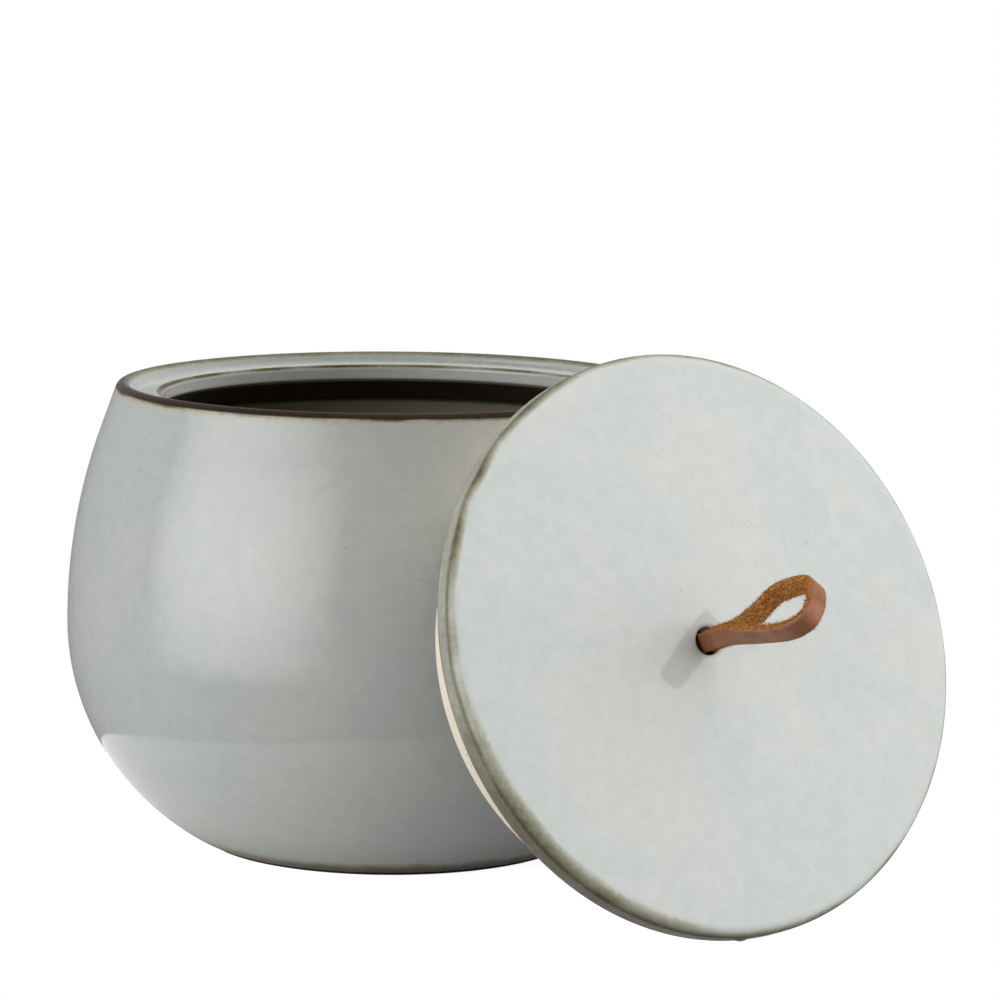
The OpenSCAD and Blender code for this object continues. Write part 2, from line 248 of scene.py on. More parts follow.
fillet_rise = gallery_z + GALLERY_FILLET - lip_z
fillet_c = np.array([lip_c[0] - np.sqrt((LIP_R + GALLERY_FILLET) ** 2 - fillet_rise ** 2),
                     gallery_z + GALLERY_FILLET])
fillet_end = np.degrees(np.arcsin(fillet_rise / (LIP_R + GALLERY_FILLET)))
ledge_c = np.array([throat_r + THROAT_EDGE, gallery_z - THROAT_EDGE])
slope = np.radians(UNDERCUT)
under_c = np.array([throat_r + UNDERCUT_ROUND, throat_z + UNDERCUT_ROUND * np.tan(slope / 2)])

# Where the sloping underside of the rim meets the shoulder's inner face
shoulder_in = shoulder_arc - WALL
depth = np.linspace(throat_z - UNDERCUT_MOST, throat_z, 4001)
inner_wall = np.where(depth < neck[1], shoulder_c[0] + np.sqrt(shoulder_in ** 2 - (depth - BELLY_Z) ** 2),
                      neck[0] - WALL / np.cos(lean) - (depth - neck[1]) * np.tan(lean))
under_side = throat_r + (throat_z - depth) / np.tan(slope)
meet_z = depth[np.argmin(np.abs(inner_wall - under_side))]
meet_angle = np.degrees(np.arcsin((meet_z - BELLY_Z) / shoulder_in))
meet = shoulder_c + shoulder_in * np.array([np.cos(np.radians(meet_angle)), np.sin(np.radians(meet_angle))])
under_start = under_c + UNDERCUT_ROUND * np.array([-np.sin(slope), -np.cos(slope)])

outline = np.concatenate([
    line((0, 0), (foot_r - FOOT_ROUND, 0), 8),
    arc((foot_r - FOOT_ROUND, FOOT_ROUND), FOOT_ROUND, -90, 0, 5),
    line((foot_r, FOOT_ROUND), (foot_r, FOOT_H), 2),
    [[foot_r + FOOT_NICK, FOOT_H - FOOT_NICK / 2]],
    arc(base_c, BASE_ARC_R, foot_angle + NICK_TURN, -BELLY_TURN, 14),
    arc(belly_c, belly_arc, -BELLY_TURN, 0, 34)[1:],
    arc(shoulder_c, shoulder_arc, 0, NECK_LEAN, 20)[1:],
    line(neck, lip_c + LIP_R * np.array([np.cos(lean), np.sin(lean)]), 14),
    arc(lip_c, LIP_R, NECK_LEAN, 180 - fillet_end, 26),
    arc(fillet_c, GALLERY_FILLET, -fillet_end, -90, 9)[1:],
    line((fillet_c[0], gallery_z), (ledge_c[0], gallery_z), 8),
    arc(ledge_c, THROAT_EDGE, 90, 180, 12),
    line((throat_r, ledge_c[1]), (throat_r, under_c[1]), 3),
    arc(under_c, UNDERCUT_ROUND, 180, 270 - UNDERCUT, 6),
    line(under_start, meet, 8),
    arc(shoulder_c, shoulder_in, meet_angle, 0, 16),
    arc(belly_c, belly_arc - WALL, 0, -BELLY_TURN, 20)[1:],
    arc(base_c, BASE_ARC_R - WALL, -BELLY_TURN, -90, 8)[1:],
    line((base_c[0], WALL), (0, WALL), 8)])


def skin(name, rings, marks, joined=False):
    """A mesh from a stack of closed rings, an array (rings, points, 3). Each ring is joined to the next
    by four-sided faces. The last ring is joined to the first, or else each end is closed by a fan
    round its own middle. marks holds one number per ring point for each named attribute."""
    count, points = rings.shape[:2]
    here = np.arange(count * points).reshape(count, points)
    beside = np.roll(here, -1, 1)
    last = count if joined else count - 1
    quads = np.stack([here[:last], beside[:last], np.roll(beside, -1, 0)[:last],
                      np.roll(here, -1, 0)[:last]], -1)
    places = rings.reshape(-1, 3)
    values = {key: np.broadcast_to(mark, (count, points)).reshape(-1) for key, mark in marks.items()}
    corners, sizes = quads.reshape(-1), np.full(quads.size // 4, 4)
    if not joined:
        middle = count * points
        ends = [np.stack([beside[0], here[0], np.full(points, middle)], -1),
                np.stack([here[-1], beside[-1], np.full(points, middle + 1)], -1)]
        places = np.concatenate([places, rings[:1].mean(1), rings[-1:].mean(1)])
        values = {key: np.append(v, [v[:points].mean(), v[-points:].mean()]) for key, v in values.items()}
        corners = np.concatenate([corners, np.concatenate(ends).reshape(-1)])
        sizes = np.append(sizes, np.full(2 * points, 3))
    mesh = bpy.data.meshes.new(name)
    mesh.vertices.add(len(places))
    mesh.vertices.foreach_set("co", places.reshape(-1))
    mesh.loops.add(len(corners))
    mesh.loops.foreach_set("vertex_index", corners.astype(np.int32))
    mesh.polygons.add(len(sizes))
    mesh.polygons.foreach_set("loop_start", (np.cumsum(sizes) - sizes).astype(np.int32))
    mesh.update(calc_edges=True)
    mesh.validate()
    mesh.shade_smooth()
    for key, v in values.items():
        mesh.attributes.new(key, "FLOAT", "POINT").data.foreach_set("value", v.astype(np.float32))
    made = bpy.data.objects.new(name, mesh)
    bpy.context.scene.collection.objects.link(made)
    return made


def turned(profile, around):
    """Rings of a profile of (radius, height) turned about the upright axis, in metres."""
    a = np.arange(around) * 2 * np.pi / around
    r, z = profile[:, :1] * MM, profile[:, 1:] * MM
    return np.stack([r * np.cos(a), r * np.sin(a), z + 0 * a], -1)


def ease(value, start, end):
    """0 before start, 1 after end, and a smooth S between them."""
    t = np.clip((value - start) / (end - start), 0, 1)
    return t * t * (3 - 2 * t)


def ripple(points, wave, seed, count=12):
    """Smooth noise from -1 to 1: a sum of sines of the points, in random directions, of that wavelength."""
    rng = np.random.default_rng(seed)
    ways = rng.normal(size=(count, 3))
    ways *= (2 * np.pi / wave / np.linalg.norm(ways, axis=1, keepdims=True)
             * rng.uniform(0.7, 1.4, (count, 1)))
    return np.sin(points @ ways.T + rng.uniform(0, 6.3, count)).sum(-1) / np.sqrt(count) / 1.4


def paint(colour):
    """A colour written 0 to 255 as a screen shows it, as the linear colour that the shaders take."""
    shown = np.array(colour) / 255
    linear = np.where(shown <= 0.04045, shown / 12.92, ((shown + 0.055) / 1.055) ** 2.4)
    return tuple(linear) + (1.0,)


class Finish:
    """A material while it is mixed. Every pattern in it lies on the object's own coordinates."""

    def __init__(self, name):
        self.made = bpy.data.materials.new(name)
        self.tree = emptied(self.made)
        self.place = self.tree.nodes.new("ShaderNodeTexCoord").outputs["Object"]

    def noise(self, scale, detail, roughness=0.5):
        """Cloudy noise about 0.5, scale waves to the metre, each finer layer roughness as strong."""
        return add(self.tree, "ShaderNodeTexNoise", None, Vector=self.place, Scale=scale, Detail=detail,
                   Roughness=roughness).outputs["Fac"]

    def mark(self, key):
        """The mesh's attribute of that name."""
        return add(self.tree, "ShaderNodeAttribute", {"attribute_name": key}).outputs["Fac"]

    def spread(self, value, low, high, to_low=0.0, to_high=1.0):
        """to_low where value is low or less, to_high where it is high or more, and a smooth S between."""
        return add(self.tree, "ShaderNodeMapRange", {"interpolation_type": "SMOOTHSTEP"}, Value=value,
                   From_Min=low, From_Max=high, To_Min=to_low, To_Max=to_high).outputs[0]

    def plus(self, first, second):
        """The sum of two values."""
        return add(self.tree, "ShaderNodeMath", {"operation": "ADD"}, in_0=first, in_1=second).outputs[0]

    def times(self, first, second):
        """The product of two values."""
        return times(self.tree, first, second)

    def mixed(self, share, first, second):
        """The first colour where share is 0, the second where it is 1."""
        return add(self.tree, "ShaderNodeMix", {"data_type": "RGBA"}, in_0=share, in_6=first,
                   in_7=second).outputs[2]

    def ramp(self, value, stops):
        """Colours along value, each reached at its place from 0 to 1. The first is at 0, the last at 1."""
        made = self.tree.nodes.new("ShaderNodeValToRGB")
        for found, (at, colour) in zip(list(made.color_ramp.elements), (stops[0], stops[-1])):
            found.position, found.color = at, paint(colour)
        for at, colour in stops[1:-1]:
            made.color_ramp.elements.new(at).color = paint(colour)
        self.tree.links.new(value, made.inputs[0])
        return made.outputs[0]

    def done(self, colour, roughness, waves, depth):
        """The material, with that colour and roughness, and waves as a relief that deep, in metres."""
        relief = add(self.tree, "ShaderNodeBump", None, Strength=1.0, Distance=depth, Height=waves)
        end_in(self.tree, "Material", add(self.tree, "ShaderNodeBsdfPrincipled", None, Base_Color=colour,
                                          Roughness=roughness, Normal=relief.outputs[0]))
        return self.made


def glaze(name, fringe):
    """Stoneware glaze. The attribute thin_and_shade runs its colour from the full glaze through fringe
    and olive to burnt brown, where the glaze runs thin, in a band darker towards the foot, and as painted
    shade down the lid's hole. bare shows the clay. painted_shade is 0.5 where the jar's inside is painted
    a darker olive grey as shade, and 1 for the near black painted shadow under the rim and in the lid's
    hole. Slow noise clouds the colour, quick noise specks it and frays the edges of the brown."""
    m = Finish(name)
    body = m.mixed(m.spread(m.noise(CLOUDS, 3), 0.35, 0.65), paint(PALE), paint(COOL))
    body = m.mixed(m.spread(m.noise(MOTTLES, 4, 0.65), 0.3, 0.75, 0.0, 0.22), body, paint(CLOUD))
    body = m.mixed(m.spread(m.noise(SPECKLES, 2), 0.7, 0.78, 0.0, 0.35), body, paint(SPECK))
    # Painted shade: the jar's inside painted a darker olive grey, and near black for the painted shadow under
    # its rim and in the lid's hole.
    painted_shade = m.mark("painted_shade")
    body = m.mixed(m.spread(painted_shade, 0.0, 0.5), body, paint(INSIDE_SHADE))
    body = m.mixed(m.spread(painted_shade, 0.5, 1.0), body, paint(PAINTED_SHADOW))
    fray = m.plus(m.spread(m.noise(FRAYING, 4, 0.7), 0.2, 0.8, -0.07, 0.07),
                  m.spread(m.noise(DRIFTING, 2), 0.3, 0.7, -0.04, 0.04))
    # Brown where the glaze runs thin, and in the lid's hole as painted shade.
    thin_and_shade = m.mark("thin_and_shade")
    thinness_and_shade = m.plus(thin_and_shade, m.times(fray, m.spread(thin_and_shade, 0.0, 0.25)))
    broken = m.ramp(thinness_and_shade, ((0.0, PALE), (FRINGE_AT, fringe), (OLIVE_AT, OLIVE), (UMBER_AT, UMBER),
                               (BROWN_AT, BROWN), (1.0, BURNT)))
    body = m.mixed(m.spread(thinness_and_shade, 0.02, 0.2), body, broken)
    bareness = m.plus(m.mark("bare"), m.spread(m.noise(CLAY_BORDER, 3), 0.25, 0.75, -0.1, 0.1))
    clay = m.mixed(m.spread(m.noise(CLAY_GRAIN, 3), 0.35, 0.7, 0.0, 0.5), paint(CLAY), paint(DULL_CLAY))
    clay = m.mixed(m.spread(m.noise(IRON_SPOTS, 1), 0.72, 0.76, 0.0, 0.7), clay, paint(IRON))
    body = m.mixed(m.spread(bareness, 0.36, 0.46), body, paint(CLAY_EDGE))
    shown = m.spread(bareness, 0.5, 0.56)
    body = m.mixed(shown, body, clay)
    sheen = m.plus(m.spread(m.noise(SHEEN_CLOUDS, 3), 0.3, 0.7, 0.07, 0.13), m.times(shown, 0.75))
    sheen = m.plus(sheen, m.spread(thinness_and_shade, 0.3, 0.9, 0.0, 0.08))
    waves = m.plus(m.noise(SWELLS, 2), m.times(m.noise(PEEL, 2), 0.06))
    waves = m.plus(waves, m.times(m.times(m.noise(CLAY_TOOTH, 2), shown), 0.7))
    return m.done(body, sheen, waves, depth=0.05 * MM)


# Thin glaze: burnt brown on the lip's outer side, olive inside it and a broken brown line on the
# gallery's edge. At the foot a band turns from olive to brown towards the bottom. Each wanders a
# little on its way round.
pot_rings = turned(outline, AROUND)
wander = ripple(pot_rings / MM, STRAY_WAVE, seed=11)
patchy = LEDGE_PATCHY * ripple(pot_rings / MM, PATCH_WAVE, seed=12)
r, z = outline[:, :1], outline[:, 1:]
from_lip = np.hypot(r - lip_c[0], z - lip_c[1]) - LIP_R
lip_turn = np.degrees(np.arctan2(z - lip_c[1], r - lip_c[0]))
order = np.arange(len(outline))[:, None]
on_lip = from_lip < NEAR * LIP_R
lip_rows = np.flatnonzero(on_lip)
outer, inner = order < lip_rows[0], order > lip_rows[-1]
thin_and_shade = np.where(outer, FRINGE_AT * (1 - ease(from_lip + FRINGE_STRAYS * wander, 0, LIP_FRINGE)), 0)
burnt = FRINGE_AT + BURNT_BY * ease(lip_turn + BURNT_STRAYS * wander, *LIP_BURNT)
burnt = burnt - OLIVE_BACK * ease(lip_turn + OLIVE_STRAYS * wander, *LIP_OLIVE)
thin_and_shade = np.where(on_lip, burnt - CLEAR_BACK * ease(lip_turn, *LIP_CLEAR), thin_and_shade)
from_ledge = np.hypot(r - ledge_c[0], z - ledge_c[1]) - THROAT_EDGE
ledge_turn = np.degrees(np.arctan2(z - ledge_c[1], r - ledge_c[0]))
ledge_line = 1 - ease(np.abs(ledge_turn - LEDGE_LINE_AT), *LEDGE_LINE_FADE)
on_ledge = inner & (from_ledge < NEAR * THROAT_EDGE) & (z > ledge_c[1] - NEAR * THROAT_EDGE)
thin_and_shade = np.where(on_ledge, np.clip(LEDGE_THIN + patchy, *LEDGE_THIN_RANGE) * ledge_line, thin_and_shade)
foot_band = FOOT_DARKENS * (1 - ease(z + FOOT_STRAYS * wander, *FOOT_BAND))
thin_and_shade = np.where(outer & (z < FOOT_BAND[1]), foot_band, thin_and_shade)
scorched = np.clip(LEDGE_BARE + patchy, *LEDGE_BARE_RANGE) * ledge_line
bare = np.where(on_ledge, scorched, np.where(outer, 1 - ease(z, 0, FOOT_BARE), 0))
# Painted shade inside the jar: near black from just above the throat down, the painted shadow of the rim's
# overhang, and below that shadow's edge the wall painted a darker olive grey.
past_shadow = 0.5 * ease(throat_z - SHADOW_BELOW_THROAT - z, -SHADOW_FADE, SHADOW_FADE)
painted_shade = np.where(inner, ease(throat_z + SHADE_ABOVE_THROAT - z, 0, SHADE_FADE) * (1 - past_shadow), 0)
pot = skin("pot_body", pot_rings, {"thin_and_shade": thin_and_shade, "bare": bare, "painted_shade": painted_shade})
pot.data.materials.append(glaze("jar_glaze", JAR_FRINGE))
jar_only.objects.link(pot)
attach(pot, "jar")
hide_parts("pot")

# Lid: a flat stoneware disc with a soft edge, glazed over its face and its edge, and with an
# unglazed ring under it that locates it in the jar's throat. One hole through its middle.
LID_T, LID_SET_IN, TOP_ROUND, UNDER_ROUND, EDGE_ZONE = 5.0, 0.1, 1.8, 1.0, 8.0
FLANGE_H, FLANGE_WALL, FLANGE_CLEAR, FLANGE_ROUND, FLANGE_ROOT = 14.9, 4.2, 0.7, 0.4, 0.9
HOLE_R, HOLE_ROUND = 2.15, 0.9
LID_LEAN, LID_FACING = np.radians((20.4, 31.5))
LID_C = np.array([47.3519, -59.5295, 43.4433])
LID_FRINGE = (170, 171, 158)

face = np.array([np.sin(LID_FACING) * np.cos(LID_LEAN), -np.cos(LID_FACING) * np.cos(LID_LEAN),
                 np.sin(LID_LEAN)])
side = np.array([np.cos(LID_FACING), np.sin(LID_FACING), 0.0])
rise = np.cross(face, side)
lid_r = lip_c[0] + LIP_R - LID_SET_IN
flange_r = throat_r - FLANGE_CLEAR
flange_in = flange_r - FLANGE_WALL
disc = np.concatenate([
    arc((HOLE_R + HOLE_ROUND, HOLE_ROUND), HOLE_ROUND, 270, 180, 8),
    line((HOLE_R, HOLE_ROUND), (HOLE_R, LID_T - HOLE_ROUND), 3),
    arc((HOLE_R + HOLE_ROUND, LID_T - HOLE_ROUND), HOLE_ROUND, 180, 90, 10),
    line((HOLE_R + HOLE_ROUND, LID_T), (lid_r - TOP_ROUND - EDGE_ZONE, LID_T), 26),
    line((lid_r - TOP_ROUND - EDGE_ZONE, LID_T), (lid_r - TOP_ROUND, LID_T), 24),
    arc((lid_r - TOP_ROUND, LID_T - TOP_ROUND), TOP_ROUND, 90, 0, 22),
    line((lid_r, LID_T - TOP_ROUND), (lid_r, UNDER_ROUND), 6),
    arc((lid_r - UNDER_ROUND, UNDER_ROUND), UNDER_ROUND, 0, -90, 14),
    line((lid_r - UNDER_ROUND, 0), (flange_r + FLANGE_ROOT, 0), 8),
    arc((flange_r + FLANGE_ROOT, -FLANGE_ROOT), FLANGE_ROOT, 90, 180, 8),
    line((flange_r, -FLANGE_ROOT), (flange_r, FLANGE_ROUND - FLANGE_H), 12),
    arc((flange_r - FLANGE_ROUND, FLANGE_ROUND - FLANGE_H), FLANGE_ROUND, 0, -90, 8),
    line((flange_r - FLANGE_ROUND, -FLANGE_H), (flange_in + FLANGE_ROUND, -FLANGE_H), 2),
    arc((flange_in + FLANGE_ROUND, FLANGE_ROUND - FLANGE_H), FLANGE_ROUND, -90, -180, 8),
    line((flange_in, FLANGE_ROUND - FLANGE_H), (flange_in, -FLANGE_ROOT), 12),
    arc((flange_in - FLANGE_ROOT, -FLANGE_ROOT), FLANGE_ROOT, 0, 90, 8),
    line((flange_in - FLANGE_ROOT, 0), (HOLE_R + HOLE_ROUND, 0), 14)])


def on_lid(points):
    """Points of the lid's own frame, across, up and out of its face in metres, where the lid leans."""
    return LID_C * MM + points[..., :1] * side + points[..., 1:2] * rise + points[..., 2:] * face


# The glaze is olive in a line round the lid's edge, and burnt over the whole of the edge on the side
# that hung low in the kiln, beside a small drop. It ends on the ring's outer side. A place is in
# millimetres up the lid or in from its edge, a name in THIN or BY is how far the glaze has thinned
# there or thins on, and one in STRAYS is by how much that strays on its way round.
LINE_Z, LINE_W, LINE_END, LINE_THIN, LINE_VARIES, LINE_STRAYS = 3.7, 0.9, (0.7, 1.4), 0.5, 0.08, 0.2
LOW_SIDE, LOW_SPAN, LOW_WIDE, LOW_STRAYS = np.radians(222), (0.7, 0.99), 3.0, 0.3
LOW_THIN, LOW_VARIES, LOW_EASES_BY, LOW_EASES_IN = 0.6, 0.05, 0.12, 0.4
HEM_THIN, HEM_WIDE, UNDER_HEM_THIN, UNDER_HEM_END = 0.2, 0.8, 0.45, (0.5, 1.1)
# The first two below: how far under the lid's face the painted shade in its hole begins, in millimetres, and
# over how much it fades in.
HOLE_SHADE_DOWN, HOLE_SHADE_FADE, EDGE_WAVE, EDGE_IN, EDGE_FROM_Z = 0.3, 0.5, 9, 6, 0.1
DROP_AT, DROP_Z, DROP_WIDE, DROP_TALL, DROP_OUT, DROP_IN = np.radians(266), 2.6, 0.026, 0.8, 0.4, 2
BARE_BELOW, BARE_FROM, BARE_EDGE, BARE_TIP = (-0.1, 0.7), 0.3, (-0.2, 0.6), 2

lid_rings = turned(disc, AROUND)
around = np.arange(AROUND) * 2 * np.pi / AROUND
wander = ripple(lid_rings / MM, EDGE_WAVE, seed=21)
r, z = disc[:, :1], disc[:, 1:]
inside_edge = lid_r - r
low = ease(np.cos(around - LOW_SIDE), *LOW_SPAN)
olive = LINE_THIN + LINE_VARIES * wander
olive = olive * np.exp(-((z - LINE_Z - LINE_STRAYS * wander) / LINE_W) ** 2)
olive = olive * (1 - ease(inside_edge, *LINE_END))
hung = (LOW_THIN - LOW_EASES_BY * ease(inside_edge, 0, LOW_EASES_IN) + LOW_VARIES * wander) * low
hung = hung * (1 - ease(inside_edge, 0, LOW_WIDE - LOW_STRAYS * wander))
hem = HEM_THIN * (1 - ease(inside_edge, 0, HEM_WIDE)) + UNDER_HEM_THIN * (1 - ease(z, *UNDER_HEM_END))
# Painted shade down the lid's hole: below the face its wall is painted burnt brown and near black, as the
# shade in a narrow hole.
hole_shade = ease(LID_T - HOLE_SHADE_DOWN - z, 0, HOLE_SHADE_FADE) * (r < HOLE_R + HOLE_ROUND)
by_edge = (inside_edge < EDGE_IN) & (z > EDGE_FROM_Z)
thin_and_shade = np.where(by_edge, np.maximum(np.maximum(olive, hung), hem), hole_shade)
drop = DROP_OUT * np.exp(-((around - DROP_AT) / DROP_WIDE) ** 2 - ((z - DROP_Z) / DROP_TALL) ** 2)
lid_rings[..., :2] *= (1 + drop * (inside_edge < DROP_IN) / r)[..., None]
outside = (r > flange_in + BARE_FROM) & (z < UNDER_ROUND)
bare = np.where(outside, 1 - ease(z, *BARE_BELOW), 0)
bare = bare * np.where(z < -FLANGE_H + BARE_TIP, 1, ease(r - flange_in, *BARE_EDGE))
lid = skin("lid_disc", on_lid(lid_rings), {"thin_and_shade": thin_and_shade, "bare": bare, "painted_shade": hole_shade}, joined=True)
lid.data.materials.append(glaze("lid_glaze", LID_FRINGE))
lid_only.objects.link(lid)
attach(lid, "lid")
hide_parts("lid")

# Loop: one flat leather lace, doubled. Its smooth grain side is outside and its suede side inside,
# and it turns as it comes out of the hole, so that its grain faces the front there.
LACE_W, LACE_T, LACE_ROUND, LACE_SIDES = 3.0, 1.45, 0.22, 40
LOOP_H, LOOP_ROOT, BEND_GAP, NECK_BELOW = 28.6, 1.6, 0.3, 0.9
PIVOT_Z = LID_T + LACE_T + BEND_GAP
NECK_DOWN = PIVOT_Z + NECK_BELOW
NECK_MORE, NECK_AT = 3.2, (-5.5, -3.5)
LOOP_TURN, ROOT_TWIST, TWIST_START, TWIST_END = np.radians(44), np.radians(-31), 1.0, 13.0
SHARES = np.array([[0.28, -0.06], [0.584, -0.124], [0.857, -0.187], [1.016, -0.143], [0.963, 0.009],
                   [0.85, 0.15], [0.713, 0.199], [0.427, 0.223], [0.26, 0.073]])
DYED, WORN, PORES = (146, 95, 66), (122, 79, 52), (104, 62, 40)
SUEDE, FIBRES, OCHRE = (98, 56, 20), (224, 156, 76), (160, 104, 44)

# The nap of the suede side and the cut edges, each layer its depth and its wavelength, where it
# ends on the way to the grain side, and the waves to the metre of each pattern in the leather
NAP, NAP_END = ((0.09, 0.55), (0.08, 1.3)), (0.3, 0.95)
HIDE_BORDER, WEAR, PORE_PITS, SUEDE_TUFTS, OCHRE_CLOUDS, FIBRE_RELIEF = 1900, 260, 2600, 2400, 300, 3600


def unit(ways):
    """The same directions, each one long."""
    return ways / np.linalg.norm(ways, axis=-1, keepdims=True)


def spline(control, steps):
    """Points and directions of the uniform cubic B-spline through a row of control points."""
    t = np.linspace(0, 1, steps, endpoint=False)[:, None]
    weights = np.stack([(1 - t) ** 3, 3 * t ** 3 - 6 * t ** 2 + 4, 3 * t * (1 + t - t ** 2) + 1, t ** 3]) / 6
    slopes = np.stack([-(1 - t) ** 2, 3 * t ** 2 - 4 * t, 1 + 2 * t - 3 * t ** 2, t ** 2]) / 2
    spans = [control[i:len(control) - 3 + i, None] for i in range(4)]
    return tuple(sum(w[i] * spans[i] for i in range(4)).reshape(-1, control.shape[1])
                 for w in (weights, slopes))


def section(width, thick, rounding, steps):
    """Points (thickness, width) of a rounded oblong, evenly spaced round it."""
    corner = [arc((sx * (thick / 2 - rounding), sy * (width / 2 - rounding)), rounding, a, a + 90, 7)
              for sx, sy, a in ((1, 1, 0), (-1, 1, 90), (-1, -1, 180), (1, -1, 270))]
    path = np.concatenate(corner + [corner[0][:1]])
    run = np.append(0, np.cumsum(np.hypot(*np.diff(path, axis=0).T)))
    at = np.arange(steps) * run[-1] / steps
    return np.stack([np.interp(at, run, path[:, k]) for k in (0, 1)], 1)


def ribbon(middle, out, wide, squeeze, seed):
    """Rings of a lace along a path: each is a rounded oblong, its thickness along out and its width along
    wide, times squeeze. The suede side and the cut edges are rough, the grain side is smooth. All in
    millimetres. Returns the rings and how near each point is to the grain side (-1 to 1)."""
    shape = section(LACE_W, LACE_T, LACE_ROUND, LACE_SIDES)
    rings = middle[:, None] + squeeze * (shape[:, 0, None] * out[:, None]
                                         + shape[:, 1, None] * wide[:, None])
    grain = 2 * shape[:, 0] / LACE_T
    half = np.array([LACE_T, LACE_W]) / 2
    push = shape / np.linalg.norm(shape / half, axis=1, keepdims=True) / half
    rough = sum(depth * ripple(rings, wave, seed + n) for n, (depth, wave) in enumerate(NAP))
    rough = rough * (1 - ease(grain, *NAP_END))
    rings = rings + rough[..., None] * (push[:, 0, None] * out[:, None] + push[:, 1, None] * wide[:, None])
    return rings, np.broadcast_to(grain, rings.shape[:2])


root_x = (-NECK_DOWN - NECK_MORE, -NECK_DOWN, *NECK_AT, -LOOP_ROOT, 0, LOOP_ROOT)
root = [[x, -LACE_T / 2] for x in root_x]
control = np.array(root + (LOOP_H * SHARES).tolist() + [[x, -y] for x, y in root[::-1]])
middle, way = spline(control, 30)
way = unit(way)
flat_middle = np.stack([middle[:, 0], middle[:, 1], 0 * middle[:, 0]], 1)
outward = np.stack([way[:, 1], -way[:, 0], 0 * way[:, 0]], 1)
widthways = np.broadcast_to([0.0, 0.0, 1.0], flat_middle.shape)
rings, grain = ribbon(flat_middle, outward, widthways, 1.0, seed=3)
twist = ROOT_TWIST * (1 - ease(rings[..., 0], TWIST_START, TWIST_END))
opening, breadth = rings[..., 1], rings[..., 2]
loop_rings = np.stack([rings[..., 0], opening * np.cos(twist) + breadth * np.sin(twist),
                       breadth * np.cos(twist) - opening * np.sin(twist)], -1)


def on_loop(points):
    """Points of the loop's frame, out along it, along its opening and along the lace's width, in metres."""
    opened = np.sin(LOOP_TURN) * side + np.cos(LOOP_TURN) * rise
    wide = np.cos(LOOP_TURN) * side - np.sin(LOOP_TURN) * rise
    return (LID_C + PIVOT_Z * face + points[..., :1] * face + points[..., 1:2] * opened
            + points[..., 2:] * wide) * MM


def leather(name):
    """Oiled leather lace. The attribute grain is 1 on the smooth dyed side and -1 on the suede side:
    the smooth side is reddish brown with fine pores, and the suede and cut edges are ochre fibres."""
    m = Finish(name)
    smooth = m.plus(m.mark("grain"), m.spread(m.noise(HIDE_BORDER, 3), 0.2, 0.8, -0.25, 0.25))
    smooth = m.spread(smooth, 0.5, 0.72)
    dyed = m.mixed(m.spread(m.noise(WEAR, 3), 0.35, 0.7), paint(DYED), paint(WORN))
    dyed = m.mixed(m.spread(m.noise(PORE_PITS, 2), 0.6, 0.75, 0.0, 0.5), dyed, paint(PORES))
    suede = m.mixed(m.spread(m.noise(SUEDE_TUFTS, 4, 0.7), 0.3, 0.7), paint(SUEDE), paint(FIBRES))
    suede = m.mixed(m.spread(m.noise(OCHRE_CLOUDS, 2), 0.4, 0.7, 0.0, 0.35), suede, paint(OCHRE))
    dull = m.spread(smooth, 0.0, 1.0, 0.92, 0.6)
    fibres = m.times(m.noise(FIBRE_RELIEF, 4, 0.7), m.spread(smooth, 0.0, 1.0, 1.0, 0.16))
    return m.done(m.mixed(smooth, suede, dyed), dull, fibres, depth=0.16 * MM)


hide = leather("lace_leather")
loop = skin("lace_loop", on_loop(loop_rings), {"grain": grain})
loop.data.materials.append(hide)
lid_only.objects.link(loop)
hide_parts("strap_neck", "strap_loop")
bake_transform(loop)

# Fuzz: the loose fibres of the same hide. They stand on the lace's suede side and most of all on its
# cut edges, which nothing seals, and none grow on the grain side or down in the lid's hole.
FUZZ_COUNT, FUZZ_SHORT, FUZZ_LONGER, FUZZ_THICK = 6000, 0.2, 0.55, (0.03, 0.065)
FUZZ_SUNK, FUZZ_FROM, EDGE_GRAIN, EDGE_SHARE = 0.06, -0.8, (-0.95, 0.4), 3.0
FUZZ_STRAY, FUZZ_BEND, WAIST_SHARE, TIP_SHARE, WAIST_THICK_SHARE = 0.7, 0.6, 0.55, 0.45, 0.6


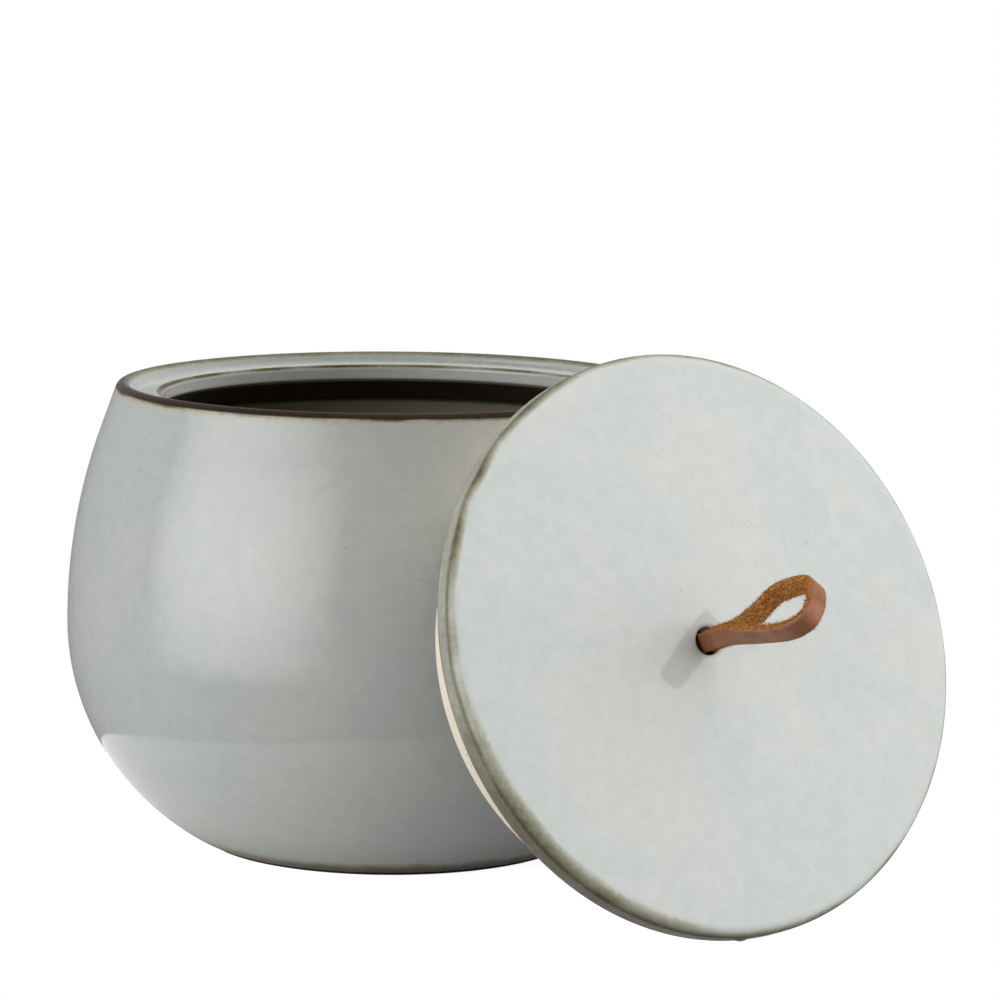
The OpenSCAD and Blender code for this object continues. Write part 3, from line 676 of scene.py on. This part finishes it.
def hairs(name, rings, rough, count, seed):
    """Loose fibres on a lace: closed three-sided spikes, each with a foot, a bent waist and a point, that
    stand on random ring points, by how rough each is. rings and the sizes here are in millimetres."""
    rng = np.random.default_rng(seed)
    spots = np.argwhere(rough > 0)
    chance = rough[rough > 0]
    spots = spots[rng.choice(len(spots), size=count, p=chance / chance.sum())]
    root = rings[spots[:, 0], spots[:, 1]]
    way = unit(unit(root - rings.mean(1)[spots[:, 0]]) + rng.normal(scale=FUZZ_STRAY, size=(count, 3)))
    bent = unit(way + rng.normal(scale=FUZZ_BEND, size=(count, 3)))
    reach = FUZZ_SHORT + FUZZ_LONGER * rng.random((count, 1)) ** 2
    thick = rng.uniform(*FUZZ_THICK, (count, 1))
    first = unit(np.cross(way, [0.3, 0.5, 0.8]))
    turns = np.arange(3)[:, None, None] * 2 * np.pi / 3
    circle = thick * (np.cos(turns) * first + np.sin(turns) * np.cross(way, first))
    waist = root + WAIST_SHARE * reach * way
    point = waist + TIP_SHARE * reach * bent
    places = np.concatenate([root - FUZZ_SUNK * way + circle, waist + WAIST_THICK_SHARE * circle,
                             point[None]])
    corners = [(2, 1, 0)]
    for k in range(3):
        n = (k + 1) % 3
        corners += [(k, n, n + 3), (k, n + 3, k + 3), (k + 3, n + 3, 6)]
    corners = np.array(corners) + 7 * np.arange(count)[:, None, None]
    places = on_loop(places.swapaxes(0, 1).reshape(-1, 3))
    mesh = bpy.data.meshes.new(name)
    mesh.from_pydata(places.tolist(), [], corners.reshape(-1, 3).tolist())
    made = bpy.data.objects.new(name, mesh)
    bpy.context.scene.collection.objects.link(made)
    return made


fluffy = np.where(grain > EDGE_GRAIN[0], EDGE_SHARE, 1.0) * (grain < EDGE_GRAIN[1])
fluffy = fluffy * (loop_rings[..., 0] > FUZZ_FROM)
fuzz = hairs("lace_fuzz", loop_rings, fluffy, FUZZ_COUNT, seed=5)
fuzz.data.materials.append(hide)
lid_only.objects.link(fuzz)
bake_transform(fuzz)

# Knot: the two ends of the lace come out under the lid and are tied together in one overhand knot,
# drawn tight enough to squeeze the leather. Its two cut tails stand a little apart.
CORD_R, KNOT_GAP, TAIL_H, TAIL_CUT = 1.2, 0.3, 5.0, 0.4
KNOT_RING, KNOT_LOBE, KNOT_HEIGHT, KNOT_PULL, KNOT_CUT = 3.03, 1.08, 1.81, 2.17, np.radians(42.4)
KNOT_PASS = CORD_R * np.array([1.32, -0.72, 3.94])
SQUEEZE, SQUEEZE_FROM, SQUEEZE_FULL, TAIL_SPREAD, TAIL_FULL_SHARE = 0.74, 0.2, 3.2, 0.75, 0.8
NUDGE = 0.01


def knot_ring(a):
    """Torus knot of two turns and three lobes: radius ring + lobe cos 3a at bearing 2a, height sin 3a."""
    a = np.asarray(a)[..., None]
    wide = KNOT_RING + KNOT_LOBE * np.cos(3 * a)
    place = [wide * np.cos(2 * a), wide * np.sin(2 * a), KNOT_HEIGHT * np.sin(3 * a)]
    return CORD_R * np.concatenate(place, -1)


def bezier(p, q, r, s, steps):
    """Points of a cubic curve with its last point left out."""
    t = np.linspace(0, 1, steps, endpoint=False)[:, None]
    return (1 - t) ** 3 * p + 3 * (1 - t) ** 2 * t * q + 3 * (1 - t) * t ** 2 * r + t ** 3 * s


knot_from, knot_to = KNOT_CUT - np.pi, np.pi - KNOT_CUT
pull = KNOT_PULL * CORD_R
down = np.array([0, 0, -1.0])
leave, arrive = (unit(knot_ring(a + NUDGE) - knot_ring(a - NUDGE)) for a in (knot_from, knot_to))
pass_down = KNOT_PASS * (1, -1, -1)
path = np.concatenate([
    KNOT_PASS - down * np.linspace(CORD_R, 0, 6, endpoint=False)[:, None],
    bezier(KNOT_PASS, KNOT_PASS + pull * down, knot_ring(knot_from) - pull * leave, knot_ring(knot_from), 24),
    knot_ring(np.linspace(knot_from, knot_to, 210, endpoint=False)),
    bezier(knot_ring(knot_to), knot_ring(knot_to) + pull * arrive, pass_down - pull * down, pass_down, 24),
    pass_down + down * np.linspace(0, TAIL_H - TAIL_CUT, 20)[:, None]])
path[:, 2] -= KNOT_GAP + KNOT_PASS[2] + CORD_R
path[:, :2] -= KNOT_PASS[:2]
ways = unit(np.gradient(path, axis=0))
normals = [np.array([-np.sin(ROOT_TWIST), np.cos(ROOT_TWIST), 0.0])]
for here in ways[1:]:
    normals.append(unit(normals[-1] - here * (normals[-1] @ here)))
normals = np.array(normals)
run = np.append(0, np.cumsum(np.linalg.norm(np.diff(path, axis=0), axis=1)))
tail_run = np.clip((run - (run[-1] - TAIL_H)) / TAIL_H, 0, 1)[:, None]
loose = np.maximum(1 - ease(run[:, None], SQUEEZE_FROM, SQUEEZE_FULL),
                   ease(tail_run, 0, TAIL_FULL_SHARE))
tight = SQUEEZE + (1 - SQUEEZE) * loose
for name, layer in (("lace_knot_upper", 1), ("lace_knot_under", -1)):
    out = layer * normals
    middle = path + out * (tight * LACE_T / 2 + TAIL_SPREAD * tail_run ** 2)
    rings, grain = ribbon(middle, out, np.cross(out, ways), tight[..., None], seed=40 + layer)
    opened = rings[..., :1] * np.cos(LOOP_TURN) + rings[..., 1:2] * np.sin(LOOP_TURN)
    risen = rings[..., 1:2] * np.cos(LOOP_TURN) - rings[..., :1] * np.sin(LOOP_TURN)
    end = skin(name, on_lid(np.concatenate([opened, risen, rings[..., 2:]], -1) * MM), {"grain": grain})
    end.data.materials.append(hide)
    lid_only.objects.link(end)
    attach(end, "strap")
    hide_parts("strap_knot")
